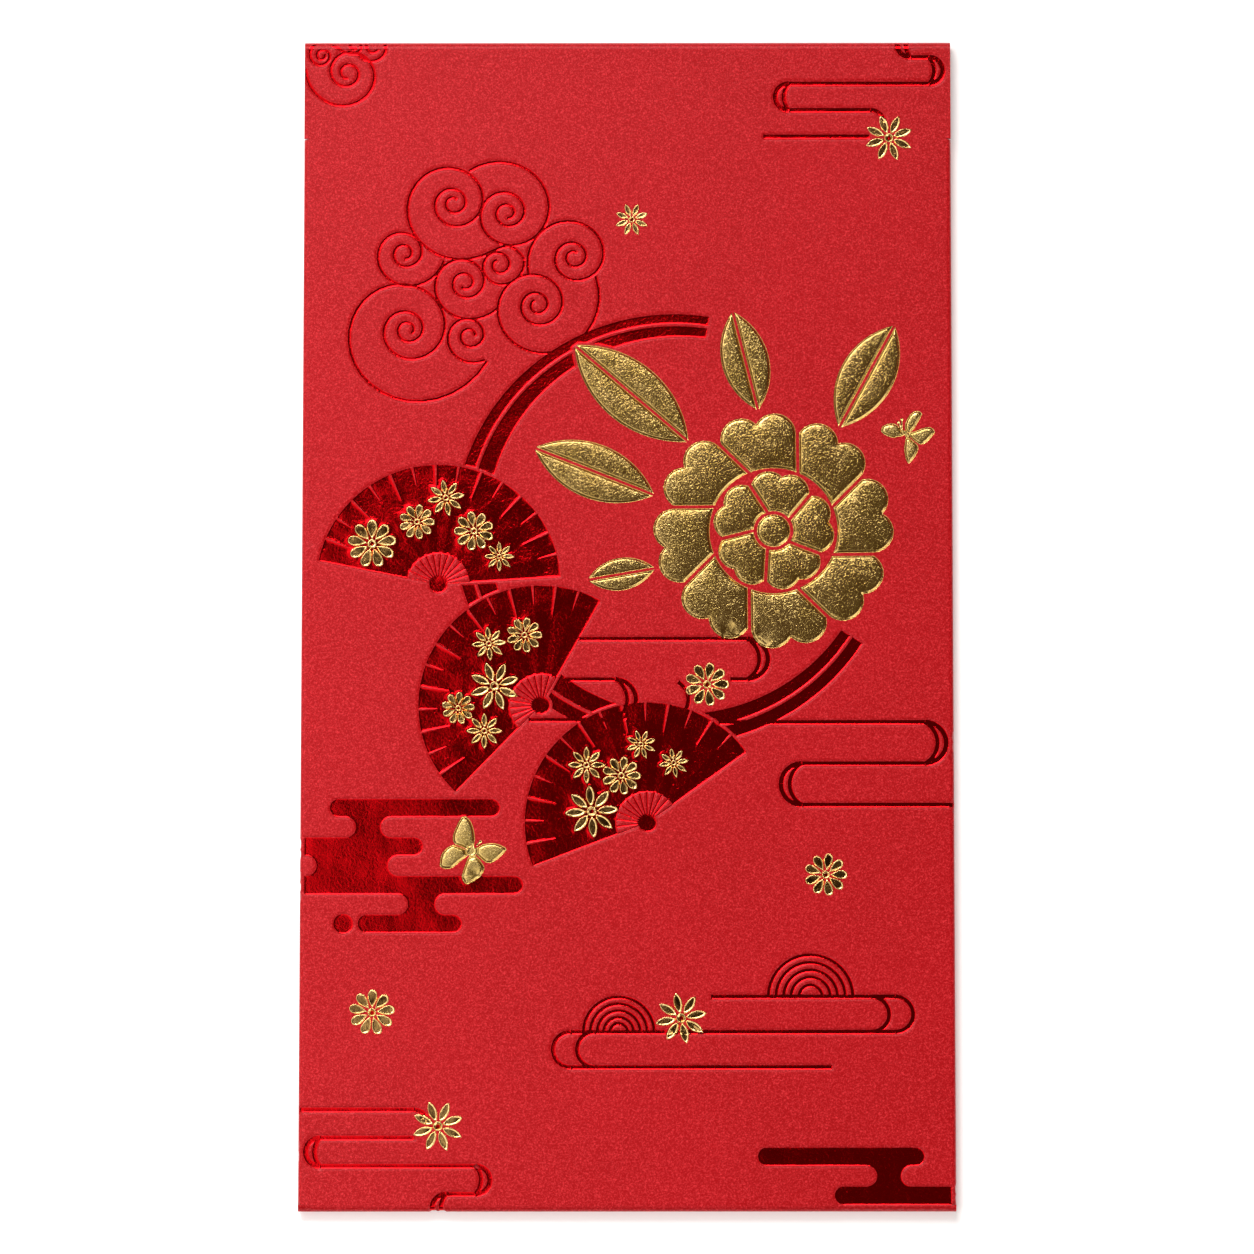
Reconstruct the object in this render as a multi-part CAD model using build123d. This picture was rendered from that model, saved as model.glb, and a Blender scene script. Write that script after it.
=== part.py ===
from build123d import *
from math import asin, cos, degrees, radians, sin
import os

# Red money packet, lying face up. X runs to the right of the face, Y to the flap's fold, Z out of the face.
# The origin is under the middle of the packet, on the surface that it lies on. All sizes are millimetres.

# Packet and sheet
packet_width = 90.0
packet_height = 165.0
paper = 0.4
note_space = 0.45  # free height above the side tabs, for the notes
glue_film = 0.05
flap_clearance = 0.1  # air between the closed flap and the back panel
mouth_drop = 14.0  # from the flap's fold down to the mouth of the pocket
back_inset = 0.5  # the back panel is narrower than the packet, on each side
tab_width = 12.0
tab_mitre = 5.0  # slanting ends of the side tabs
glue_width = 8.0
glue_margin = 1.5  # bare edge round a glue strip
flap_length = 42.0
flap_inset = 0.8  # the flap is narrower than the packet at its fold, on each side
flap_taper = 5.0  # and draws in by this much more at its free edge
flap_corner = 8.0
crease_relief = 0.05  # the flap's edge stands this far off the bend, so that it turns freely

# Stamped films and raised gold
foil_film = 0.05
gold_relief = 0.25
foil_gap = 0.35  # bare paper left between two neighbouring stampings

# Places on the face are measured from its centre, unless a name says that they start at an edge.

# Open ring behind the fans
ring_outer_center = (6.6, 12.9)
ring_outer_radius = 30.5
ring_slit_center = (6.7, 13.15)
ring_slit_radius = 28.75
ring_slit = 0.4  # bare line between the thin outer and the thick inner stroke
ring_inner_center = (7.35, 13.5)  # off the outer centre, so that the stroke swells to the left
ring_inner_radius = 26.75
ring_opening = (-32.0, 113.0)  # start and sweep of the missing part

# Pleated fans
fan_radius = 16.9
fan_sweep = 165.0
fan_stick_radius = 4.35
fan_rivet_radius = 1.25
fan_pleats = 15
pleat_slit_width = 0.3
pleat_slit_lengths = (4.2, 2.8)  # taken in turn
fan_sticks = 12
fan_stick_width = 0.2
upper_fan_pivot = (-26.1, 5.1)
upper_fan_start = 3.5
middle_fan_pivot = (-11.9, -12.0)
middle_fan_start = 61.0
lower_fan_pivot = (2.8, -28.5)
lower_fan_start = 36.0

# Gold blossoms: x, y, radius, turn in degrees
round_blossoms_fan = [
    (-35.3, 10.8, 3.4, 10),
    (-29.1, 13.9, 2.5, 0),
    (-21.2, 12.6, 2.8, 20),
    (-14.2, -2.1, 2.5, 0),
    (-23.3, -12.4, 2.3, 5),
    (-0.8, -21.9, 2.7, 0),
]
star_blossoms_fan = [
    (-25.1, 17.3, 2.6, 10),
    (-17.7, 9.0, 2.1, 0),
    (-19.1, -3.3, 2.4, 5),
    (-18.3, -9.3, 3.5, 20),
    (-19.7, -15.6, 2.5, 0),
    (-5.6, -20.4, 2.6, 0),
    (1.9, -17.5, 2.1, 20),
    (6.4, -20.1, 2.1, 10),
    (-4.9, -26.9, 3.7, 5),
]
round_blossoms_loose = [(11.0, -9.1, 3.1, 0), (27.3, -35.8, 3.0, 0), (-35.0, -55.0, 3.2, 8)]
star_blossoms_loose = [
    (0.6, 56.9, 2.4, 22),
    (36.4, 68.6, 3.4, 20),
    (7.4, -55.8, 3.6, 12),
    (-25.9, -70.8, 3.6, 20),
]
round_petals = 9
star_petals = 8
petal_shoulder = 0.82  # part of a round petal's length where its blunt end begins
petal_fill = 0.86  # part of its own sector that a round petal fills at the shoulder
petal_end = 0.5  # part of the shoulder's angle that is left at the blunt end
blossom_heart = 0.27  # part of a blossom's radius where its petals run together
star_bulge = 0.6  # part of a slim petal's length where it is widest
star_fill = 0.58  # part of its own sector that a slim petal fills there

# Gold peony and its leaves, in the middle of the ring
peony_center = (20.2, 12.6)
peony_heart_radius = 2.3
peony_inner_radius = 8.4
peony_inner_petals = 5
peony_outer_radius = 16.6
peony_outer_petals = 8
peony_gap = 0.45
peony_swirl = 9.0  # degrees that a petal leans from its foot to its edge
peony_shoulder = 0.86  # part of a petal's reach where its lobed edge begins
peony_notch = 0.92  # part of the reach left at the notch between two lobes
leaf_vein = 0.35
leaf_offset = 0.6  # from the bloom to the foot of a leaf
# Leaves: direction of the foot from the bloom's centre, direction of the leaf, length, width
leaves = [
    (58, 62, 16.5, 7.6),
    (97, 104, 14.5, 6.6),
    (133, 139, 21.0, 8.6),
    (163, 158, 18.0, 7.8),
    (198, 190, 9.5, 4.6),
]

# Gold butterflies: corners of each wing's outline, from the middle of the butterfly
left_butterfly = (-21.42, -32.54)
left_heart_radius = 0.72
left_upper_wing = [
    (-1.35, 4.84), (-0.43, 4.59), (0.16, 3.58), (0.51, 1.76), (0.37, 0.74),
    (-0.59, 0.35), (-1.55, 0.74), (-2.31, 1.02), (-2.6, 1.82), (-2.32, 2.94),
]
left_right_wing = [
    (0.72, 0.0), (1.13, 0.84), (2.23, 1.13), (3.27, 1.13), (4.16, 0.81),
    (4.82, 0.25), (3.62, -1.08), (2.58, -1.64), (1.76, -1.43), (1.1, -0.77),
]
left_left_wing = [
    (-0.72, -0.8), (-0.86, 0.14), (-1.55, 0.77), (-2.38, 0.95), (-3.34, 0.53),
    (-4.13, -0.42), (-4.34, -1.47), (-4.28, -2.17), (-3.47, -2.46), (-2.58, -2.28), (-1.62, -1.47),
]
left_mist_wing = [  # lies over a bar of mist
    (-0.55, -1.05), (0.17, -0.84), (0.93, -0.94), (1.55, -1.75), (1.79, -2.45),
    (1.21, -3.5), (-0.54, -4.55), (-1.16, -4.02), (-1.32, -3.36), (-0.99, -2.24),
]
right_butterfly = (39.0, 26.16)
right_body_head = (-1.1, 0.9)
right_body = (-49.0, 1.9, 0.55)  # direction, length, width
right_upper_wing = [
    (-0.62, 1.24), (-0.31, 2.17), (0.39, 3.13), (1.12, 3.44), (1.84, 2.98), (1.14, 1.6), (0.45, 0.43), (-0.14, 0.5),
]
right_right_wing = [
    (0.38, 0.14), (1.69, 0.89), (2.94, 1.11), (3.59, 0.35), (2.51, -0.99), (1.68, -1.35), (0.99, -1.1), (0.44, -0.46),
]
right_lower_wing = [
    (-0.32, -0.78), (0.37, -0.67), (0.99, -1.17), (1.3, -1.95),
    (0.84, -3.08), (-0.06, -4.08), (-0.54, -3.08), (-0.67, -1.81),
]
right_left_wing = [
    (-0.73, -0.21), (-1.63, -0.33), (-2.46, -0.39), (-3.6, 0.15), (-3.89, 0.72),
    (-3.49, 1.35), (-2.45, 1.66), (-1.62, 1.38), (-1.0, 0.7),
]
wing_gap = 0.15
wing_steps = 2  # straight edges from one corner to the next

# Bars of mist
mist_bar = 2.5
mist_pitch = 5.4
left_mist_top = -26.4  # middle of the top bar
left_mist_bars = [(4.1, 27.5), (0.0, 16.9), (0.0, 30.7), (8.0, 22.3)]  # ends, from the left edge
left_mist_waists = [(7.7, 11.1), (2.3, 12.1), (14.9, 18.6)]  # narrowest stretch between two bars
left_mist_drop = (6.0, 1.35)  # round drop beside the lowest bar: from the left edge, radius
corner_mist_base = 2.1  # middle of the lower bar, from the bottom edge
corner_mist_bars = [(4.3, 27.1), (0.0, 16.6)]  # ends, from the right edge
corner_mist_waist = (7.5, 10.8)

# Levels and flat parts that follow from these sizes
back_bottom = paper + flap_clearance
glue_bottom = back_bottom + paper
tab_bottom = glue_bottom + glue_film
front_bottom = tab_bottom + paper + note_space
face = front_bottom + paper
side_bend = (face - tab_bottom) / 2
bottom_bend = (face - back_bottom) / 2
top_bend = face / 2
half_width = packet_width / 2
back_width = packet_width - 2 * back_inset
half_height = packet_height / 2
flat_half_width = half_width - side_bend
flat_bottom = -half_height + bottom_bend
flat_top = half_height - top_bend
mouth = half_height - mouth_drop
tab_top = mouth - glue_margin


# Flat shapes

def polar(center, radius, angle):
    """Point at a distance and a direction, in degrees, from a centre."""
    return (center[0] + radius * cos(radians(angle)), center[1] + radius * sin(radians(angle)))


def arc(center, radius, start, end):
    """Circular arc from one direction to another."""
    first, middle, last = [polar(center, radius, angle) for angle in (start, (start + end) / 2, end)]
    return ThreePointArc(first, middle, last)


def area(*edges):
    """Flat area inside a closed chain of edges, facing up."""
    inside = Face(Wire(edges))
    return inside if inside.normal_at().Z > 0 else -inside


def polygon(*points):
    """Flat area inside straight edges."""
    return area(*[Line(a, b) for a, b in zip(points, points[1:] + points[:1])])


def disc(center, radius):
    return Pos(*center) * Circle(radius)


def joined(shapes):
    """One sketch of several areas, run together where they meet."""
    return Sketch() + shapes


def without(shape, others, gap=foil_gap):
    """An area with others, grown by a bare gap, taken out."""
    for other in others:
        shape = shape - offset(other, amount=gap)
    return shape


def sector(center, radius, start, sweep):
    """Piece of a disc."""
    end = start + sweep
    return area(
        Line(center, polar(center, radius, start)),
        arc(center, radius, start, end),
        Line(polar(center, radius, end), center),
    )


def lens(root, angle, length, width):
    """Pointed petal or leaf between two arcs."""
    tip = polar(root, length, angle)
    waist = polar(root, length / 2, angle)
    left = polar(waist, width / 2, angle + 90)
    right = polar(waist, width / 2, angle - 90)
    return area(ThreePointArc(root, right, tip), ThreePointArc(tip, left, root))


# Solids

def plate(shape, bottom, thickness):
    """Level plate with a flat outline."""
    return extrude(Pos(0, 0, bottom) * shape, amount=thickness, dir=(0, 0, 1))


def bend(radius, start, along, outward, length):
    """Paper turned back on itself: half a tube with the sheet's thickness."""
    ring = Circle(radius) - Circle(radius - paper)
    half = ring & (Pos(radius / 2, 0) * Rectangle(radius, 2 * radius))
    place = Plane(origin=start, x_dir=outward, z_dir=along)
    return extrude(place * half, amount=length)


def stamped(shape, bottom, thickness):
    """Foil on the face, kept to the flat of the panel."""
    return plate(joined([shape]) & front_outline(), bottom, thickness)


# Folded sheet

def front_outline():
    """Panel between the side folds, with full width above the mouth of the pocket."""
    return polygon(
        (-flat_half_width, flat_bottom),
        (flat_half_width, flat_bottom),
        (flat_half_width, mouth),
        (half_width, mouth),
        (half_width, flat_top),
        (-half_width, flat_top),
        (-half_width, mouth),
        (-flat_half_width, mouth),
    )


def side_fold(side):
    start = (side * flat_half_width, flat_bottom, tab_bottom + side_bend)
    return bend(side_bend, start, (0, 1, 0), (side, 0, 0), mouth - flat_bottom)


def bottom_fold():
    start = (-back_width / 2, flat_bottom, back_bottom + bottom_bend)
    return bend(bottom_bend, start, (1, 0, 0), (0, -1, 0), back_width)


def top_crease():
    return bend(top_bend, (-half_width, flat_top, top_bend), (1, 0, 0), (0, 1, 0), packet_width)


def glue_tab(side):
    """Side tab turned inside the pocket, with slanting ends."""
    inner = flat_half_width - tab_width
    outline = polygon(
        (side * flat_half_width, flat_bottom),
        (side * inner, flat_bottom + tab_mitre),
        (side * inner, tab_top - tab_mitre),
        (side * flat_half_width, tab_top),
    )
    return plate(outline, tab_bottom, paper)


def glue_strip(side):
    """Glue between a side tab and the back panel."""
    low = flat_bottom + tab_mitre + glue_margin
    high = tab_top - tab_mitre - glue_margin
    middle = side * (flat_half_width - glue_margin - glue_width / 2)
    outline = Pos(middle, (low + high) / 2) * Rectangle(glue_width, high - low)
    return plate(outline, glue_bottom, glue_film)


def back_panel():
    outline = Pos(0, (flat_bottom + mouth) / 2) * Rectangle(back_width, mouth - flat_bottom)
    return plate(outline, back_bottom, paper)


def top_flap():
    """Flap folded over the back: its sides draw in to a free edge with round corners."""
    root = half_width - flap_inset
    end = root - flap_taper
    high = flat_top - crease_relief
    low = flat_top - flap_length
    outline = polygon((-root, high), (-end, low), (end, low), (root, high))
    corners = outline.vertices().sort_by(Axis.Y)[:2]
    return plate(fillet(corners, flap_corner), 0, paper)


# Red ornament

def moon_ring():
    """Thin and thick stroke side by side, open to the right."""
    strokes = disc(ring_outer_center, ring_outer_radius) - disc(ring_inner_center, ring_inner_radius)
    slit = disc(ring_slit_center, ring_slit_radius + ring_slit / 2)
    slit = slit - disc(ring_slit_center, ring_slit_radius - ring_slit / 2)
    return strokes - slit - sector(ring_outer_center, 2 * ring_outer_radius, *ring_opening)


def fan_window(pivot, start, end):
    """Bare paper between two sticks."""
    def across(radius):
        return degrees(asin(fan_stick_width / 2 / radius))
    inner = fan_rivet_radius
    outer = fan_stick_radius
    return polygon(
        polar(pivot, inner, start + across(inner)),
        polar(pivot, outer, start + across(outer)),
        polar(pivot, outer, end - across(outer)),
        polar(pivot, inner, end - across(inner)),
    )


def fan(pivot, start):
    """Fan leaf slit along its pleats, with thin sticks running to a round rivet."""
    end = start + fan_sweep
    pitch = fan_sweep / fan_pleats
    half_slit = degrees(asin(pleat_slit_width / 2 / fan_radius))
    edges = []
    near = start
    for pleat in range(1, fan_pleats):
        slit = start + pleat * pitch
        depth = pleat_slit_lengths[pleat % len(pleat_slit_lengths)]
        foot = polar(pivot, fan_radius - depth, slit)
        edges.append(arc(pivot, fan_radius, near, slit - half_slit))
        edges.append(Line(polar(pivot, fan_radius, slit - half_slit), foot))
        edges.append(Line(foot, polar(pivot, fan_radius, slit + half_slit)))
        near = slit + half_slit
    edges.append(arc(pivot, fan_radius, near, end))
    edges.append(Line(polar(pivot, fan_radius, end), polar(pivot, fan_rivet_radius, end)))
    edges.append(arc(pivot, fan_rivet_radius, end, start + 360))
    edges.append(Line(polar(pivot, fan_rivet_radius, start), polar(pivot, fan_radius, start)))
    step = fan_sweep / fan_sticks
    windows = [fan_window(pivot, start + k * step, start + (k + 1) * step) for k in range(fan_sticks)]
    return joined([area(*edges)]) - windows


def mist_strip(left, right, y, round_left, round_right):
    """Bar of mist with half-round free ends."""
    r = mist_bar / 2
    low_left = (left + r * round_left, y - r)
    high_left = (left + r * round_left, y + r)
    low_right = (right - r * round_right, y - r)
    high_right = (right - r * round_right, y + r)
    left_end = Line(high_left, low_left)
    right_end = Line(low_right, high_right)
    if round_left:
        left_end = ThreePointArc(high_left, (left, y), low_left)
    if round_right:
        right_end = ThreePointArc(low_right, (right, y), high_right)
    return area(Line(low_left, low_right), right_end, Line(high_right, high_left), left_end)


def mist_waist(left, right, y):
    """Link between two bars, hollowed half-round on both sides."""
    r = (mist_pitch - mist_bar) / 2
    return area(
        Line((left - r, y + r), (right + r, y + r)),
        ThreePointArc((right + r, y + r), (right, y), (right + r, y - r)),
        Line((right + r, y - r), (left - r, y - r)),
        ThreePointArc((left - r, y - r), (left, y), (left - r, y + r)),
    )


def left_mist():
    """Four bars linked by waists, the middle two cut off by the left edge, and a drop."""
    edge = -half_width
    shapes = []
    for row, (near, far) in enumerate(left_mist_bars):
        start = max(edge + near, -flat_half_width)
        shapes.append(mist_strip(start, edge + far, left_mist_top - row * mist_pitch, near > 0, True))
    for row, (near, far) in enumerate(left_mist_waists):
        shapes.append(mist_waist(edge + near, edge + far, left_mist_top - (row + 0.5) * mist_pitch))
    lowest = left_mist_top - (len(left_mist_bars) - 1) * mist_pitch
    from_edge, radius = left_mist_drop
    shapes.append(disc((edge + from_edge, lowest), radius))
    return joined(shapes)


def corner_mist():
    """Two bars in the lower right corner, the lower one cut off by the right edge."""
    low = -half_height + corner_mist_base
    shapes = []
    for row, (near, far) in enumerate(corner_mist_bars):
        end = min(half_width - near, flat_half_width)
        y = low + (len(corner_mist_bars) - 1 - row) * mist_pitch
        shapes.append(mist_strip(half_width - far, end, y, True, near > 0))
    near, far = corner_mist_waist
    shapes.append(mist_waist(half_width - far, half_width - near, low + mist_pitch / 2))
    return joined(shapes)


# Gold ornament

def blossom(center, petals, turn, half_petal):
    """Blossom from the corners of half a petal: distance, and part of the petal's half sector."""
    step = 360 / petals
    other_half = [(reach, -part) for reach, part in reversed(half_petal) if 0 < part < 1]
    corners = []
    for k in range(petals):
        for reach, part in half_petal + other_half:
            corners.append(polar(center, reach, turn + (k - part / 2) * step))
    return polygon(*corners)


def round_blossom(x, y, radius, turn):
    """Blossom whose petals widen to blunt round ends."""
    heart = (radius * blossom_heart, 1)
    shoulder = (radius * petal_shoulder, petal_fill)
    end = (radius, petal_fill * petal_end)
    return blossom((x, y), round_petals, turn, [heart, shoulder, end])


def star_blossom(x, y, radius, turn):
    """Blossom with slim pointed petals."""
    heart = (radius * blossom_heart, 1)
    bulge = (radius * star_bulge, star_fill)
    tip = (radius, 0)
    return blossom((x, y), star_petals, turn, [heart, bulge, tip])


def blossoms(round_rows, star_rows):
    return [round_blossom(*row) for row in round_rows] + [star_blossom(*row) for row in star_rows]


def peony_petal(inner, outer, axis, step):
    """Leaning petal with a lobed edge and a small notch."""
    lean = axis + peony_swirl
    shoulder = outer * peony_shoulder
    foot_half = step / 2 - degrees(peony_gap / 2 / inner)
    shoulder_half = step / 2 - degrees(peony_gap / 2 / shoulder)
    right_foot = polar(peony_center, inner, axis - foot_half)
    left_foot = polar(peony_center, inner, axis + foot_half)
    right = polar(peony_center, shoulder, lean - shoulder_half)
    left = polar(peony_center, shoulder, lean + shoulder_half)
    notch = polar(peony_center, outer * peony_notch, lean)
    return area(
        arc(peony_center, inner, axis + foot_half, axis - foot_half),
        Line(right_foot, right),
        ThreePointArc(right, polar(peony_center, outer, lean - step / 4), notch),
        ThreePointArc(notch, polar(peony_center, outer, lean + step / 4), left),
        Line(left, left_foot),
    )


def peony():
    """Round heart, a ring of inner petals and a ring of outer petals."""
    shapes = [disc(peony_center, peony_heart_radius)]
    rings = [
        (peony_heart_radius + peony_gap, peony_inner_radius, peony_inner_petals),
        (peony_inner_radius + peony_gap, peony_outer_radius, peony_outer_petals),
    ]
    for inner, outer, count in rings:
        step = 360 / count
        shapes += [peony_petal(inner, outer, k * step, step) for k in range(count)]
    return shapes


def leaf_shape(foot_angle, angle, length, width):
    """Whole leaf, with its foot beside the bloom."""
    foot = polar(peony_center, peony_outer_radius + leaf_offset, foot_angle)
    return lens(foot, angle, length, width)


def leaf_halves(foot_angle, angle, length, width):
    """Leaf split along its middle vein."""
    foot = polar(peony_center, peony_outer_radius + leaf_offset, foot_angle)
    middle = polar(foot, length / 2, angle)
    vein = Pos(*middle) * Rot(0, 0, angle) * Rectangle(2 * length, leaf_vein)
    return joined([leaf_shape(foot_angle, angle, length, width)]) - vein


def wing(center, corners):
    """Smooth outline through the corners of a wing."""
    def between(a, b, c, d, t):
        return b + t * (c - a + t * (2 * a - 5 * b + 4 * c - d + t * (3 * b - a - 3 * c + d))) / 2
    points = []
    count = len(corners)
    for k in range(count):
        near = [corners[(k + j) % count] for j in (-1, 0, 1, 2)]
        for step in range(wing_steps):
            x, y = [between(*values, step / wing_steps) for values in zip(*near)]
            points.append((center[0] + x, center[1] + y))
    return polygon(*points)


def butterfly(center, body, wings):
    """Body with its wings, parted by narrow gaps."""
    shapes = [body]
    for corners in wings:
        shapes.append(without(wing(center, corners), shapes, wing_gap))
    return shapes


# Pieces

parts = {}
parts["front_panel"] = plate(front_outline(), front_bottom, paper)
parts["left_side_fold"] = side_fold(-1)
parts["right_side_fold"] = side_fold(1)
parts["bottom_fold"] = bottom_fold()
parts["top_crease"] = top_crease()
parts["left_glue_tab"] = glue_tab(-1)
parts["right_glue_tab"] = glue_tab(1)
parts["left_glue_strip"] = glue_strip(-1)
parts["right_glue_strip"] = glue_strip(1)
parts["back_panel"] = back_panel()
parts["top_flap"] = top_flap()

upper_sector = sector(upper_fan_pivot, fan_radius, upper_fan_start, fan_sweep)
middle_sector = sector(middle_fan_pivot, fan_radius, middle_fan_start, fan_sweep)
lower_sector = sector(lower_fan_pivot, fan_radius, lower_fan_start, fan_sweep)
rivets = [disc(p, fan_rivet_radius) for p in (upper_fan_pivot, middle_fan_pivot, lower_fan_pivot)]
fan_areas = [upper_sector, middle_sector, lower_sector, *rivets]
bloom_area = disc(peony_center, peony_outer_radius)
leaf_areas = [leaf_shape(*row) for row in leaves]
loose_areas = [disc((x, y), radius) for x, y, radius, _ in round_blossoms_loose + star_blossoms_loose]
gold_areas = [bloom_area, *leaf_areas, *loose_areas]
left_heart = disc(left_butterfly, left_heart_radius)
left_wings = [left_upper_wing, left_right_wing, left_left_wing, left_mist_wing]
left_wings_area = butterfly(left_butterfly, left_heart, left_wings)
head = (right_butterfly[0] + right_body_head[0], right_butterfly[1] + right_body_head[1])
right_wings = [right_upper_wing, right_right_wing, right_lower_wing, right_left_wing]
right_wings_area = butterfly(right_butterfly, lens(head, *right_body), right_wings)
beside_mist = left_wings_area[:-1]
wing_on_mist = left_wings_area[-1]

upper_fan = without(fan(upper_fan_pivot, upper_fan_start), gold_areas)
middle_fan = without(fan(middle_fan_pivot, middle_fan_start), [upper_sector, *gold_areas])
lower_fan = without(fan(lower_fan_pivot, lower_fan_start), [middle_sector, *gold_areas])
ring = without(moon_ring(), fan_areas + gold_areas)
edge_mist = without(without(left_mist(), fan_areas), beside_mist, wing_gap)
low_mist = without(corner_mist(), fan_areas + gold_areas)

film = (face, foil_film)
parts["moon_ring_foil"] = stamped(ring, *film)
parts["upper_fan_foil"] = stamped(upper_fan, *film)
parts["middle_fan_foil"] = stamped(middle_fan, *film)
parts["lower_fan_foil"] = stamped(lower_fan, *film)
parts["left_mist_foil"] = stamped(edge_mist, *film)
parts["corner_mist_foil"] = stamped(low_mist, *film)

on_face = (face, gold_relief)
on_film = (face + foil_film, gold_relief - foil_film)
leaf_work = joined([leaf_halves(*row) for row in leaves])
loose_work = joined(blossoms(round_blossoms_loose, star_blossoms_loose))
fan_work = joined(blossoms(round_blossoms_fan, star_blossoms_fan))
parts["peony_bloom_gold"] = stamped(joined(peony()), *on_face)
parts["peony_leaf_gold"] = stamped(leaf_work, *on_face)
parts["loose_blossom_gold"] = stamped(loose_work, *on_face)
parts["fan_blossom_gold"] = stamped(fan_work, *on_film)
wings_on_face = stamped(joined(beside_mist + right_wings_area), *on_face)
parts["butterfly_gold"] = wings_on_face + stamped(wing_on_mist, *on_film)

os.makedirs("parts", exist_ok=True)
for node, solid in parts.items():
    export_step(solid, f"parts/{node}.step")
    print(f"{node}: {len(solid.solids())} solids, {solid.volume:.2f} mm3")
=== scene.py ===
# %% [markdown]
# # A stamped red envelope
# A red envelope is one sheet of pearly red card, folded round a pocket. Its face is pressed between two dies: red
# foil is pushed a little into the card, and gold foil is raised above it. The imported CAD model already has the
# sheet, the fans, the flowers and the hinge of the flap at their true size, so this lesson loads it first and then
# dresses it with the relief, the paper, the foil and the light that make it look real.

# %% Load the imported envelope
from math import atan2, ceil, cos, hypot, log, pi, radians, sin

import bpy
import numpy as np
from mathutils import Matrix, Vector
from mathutils.geometry import delaunay_2d_cdt
from mathutils.kdtree import KDTree


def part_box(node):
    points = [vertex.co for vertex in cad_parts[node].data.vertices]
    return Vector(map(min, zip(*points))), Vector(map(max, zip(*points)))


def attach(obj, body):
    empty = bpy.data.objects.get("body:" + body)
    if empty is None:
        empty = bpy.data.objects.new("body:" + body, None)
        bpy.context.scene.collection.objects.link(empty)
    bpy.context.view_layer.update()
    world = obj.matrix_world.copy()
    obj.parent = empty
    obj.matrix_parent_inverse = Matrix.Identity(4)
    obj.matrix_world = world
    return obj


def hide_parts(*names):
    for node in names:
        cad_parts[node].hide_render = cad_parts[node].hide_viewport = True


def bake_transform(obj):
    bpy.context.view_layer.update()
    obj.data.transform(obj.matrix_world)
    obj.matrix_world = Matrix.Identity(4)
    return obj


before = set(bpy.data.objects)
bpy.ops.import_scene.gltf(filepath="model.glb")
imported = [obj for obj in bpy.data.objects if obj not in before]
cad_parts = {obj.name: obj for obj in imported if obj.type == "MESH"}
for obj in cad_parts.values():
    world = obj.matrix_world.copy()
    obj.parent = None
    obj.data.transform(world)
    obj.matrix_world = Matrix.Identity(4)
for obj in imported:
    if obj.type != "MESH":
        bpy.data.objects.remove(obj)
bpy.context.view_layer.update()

MM = 0.001

# %% [markdown]
# ## Sizes of the sheet
# The relief is drawn on the sheet while it is flat, in millimetres, and bent round the folds afterwards. So the
# first thing to know is where the flat of the face ends and how tight each fold is. These sizes could be typed in,
# but then they might drift away from the CAD model, so they are read from the boxes of its nodes.

# %% Measure the face and its folds
def box_mm(node):
    """Lowest and highest corner of a CAD node, in millimetres."""
    low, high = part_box(node)
    return low / MM, high / MM


front_low, front_high = box_mm("front_panel")
side_low, side_high = box_mm("right_side_fold")
bottom_low, bottom_high = box_mm("bottom_fold")
face = front_high.z
paper = front_high.z - front_low.z
half_width = front_high.x
half_height = -bottom_low.y
top_edge = front_high.y
flat_half_width = side_low.x
flat_bottom = bottom_high.y
mouth = side_high.y
side_bend = (side_high.z - side_low.z) / 2
bottom_bend = (bottom_high.z - bottom_low.z) / 2
print("flat of the face:", round(2 * flat_half_width, 2), "x", round(top_edge - flat_bottom, 2), "mm")

# %% [markdown]
# ## Outlines of the stamped motifs
# Each foil node in the CAD model is a thin plate, and the edge of its upper face is the outline that the die cuts.
# An edge of a triangle that no other triangle shares lies on the outline, so the outlines can be walked one corner
# after another. Outer outlines run counter-clockwise, and openings, such as those between a fan's sticks, clockwise.

# %% Read outlines from the CAD nodes
SAME_LEVEL = 0.001  # corners this close to the top lie on the upper face


def top_outlines(node):
    """Closed outlines of a node's upper face, as lists of points in millimetres."""
    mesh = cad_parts[node].data
    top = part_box(node)[1].z
    corner = [(round(v.co.x / MM, 3), round(v.co.y / MM, 3)) for v in mesh.vertices]
    on_top = [v.co.z > top - SAME_LEVEL * MM for v in mesh.vertices]
    edges = set()
    for polygon in mesh.polygons:
        if all(on_top[k] for k in polygon.vertices):
            ring = [corner[k] for k in polygon.vertices]
            edges.update(zip(ring, ring[1:] + ring[:1]))
    following = {a: b for a, b in edges if (b, a) not in edges}
    outlines = []
    while following:
        start, point = following.popitem()
        outline = [start]
        while point != start:
            outline.append(point)
            point = following.pop(point)
        outlines.append(outline)
    return sorted(outlines)


def signed_area(outline):
    """Area in square millimetres, below zero where the outline runs clockwise."""
    following = outline[1:] + outline[:1]
    return sum(a[0] * b[1] - b[0] * a[1] for a, b in zip(outline, following)) / 2


# %% [markdown]
# The list of stampings goes from the bottom layer to the top one. Where two overlap, the later one wins, just as
# the later pass of a press covers the earlier one. Each entry has the name of its piece, its kind and its outline.

# %% Start the list of stampings
PAPER, FOIL, DOMED, RIMMED = range(4)
stampings = []


def stamp(piece, kind, outline):
    """Adds one closed area to the list, turned counter-clockwise."""
    if signed_area(outline) < 0:
        outline = outline[::-1]
    stampings.append((piece, kind, outline))


# %% [markdown]
# ## Fine lines
# Spiral clouds, cloud bands and rainbow arches are single pressed lines, too thin to be pieces of their own in CAD.
# A curve with a round bevel would lie on the card like a wire, but these lines are pressed into it. So a line is
# drawn as a narrow flat strip along a path, and stamped like any other motif.

# %% Draw strips along paths
ARC_STEP = 9  # degrees from one point of an arc to the next
ARC_LEAST = 6  # steps in a short arc


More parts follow.
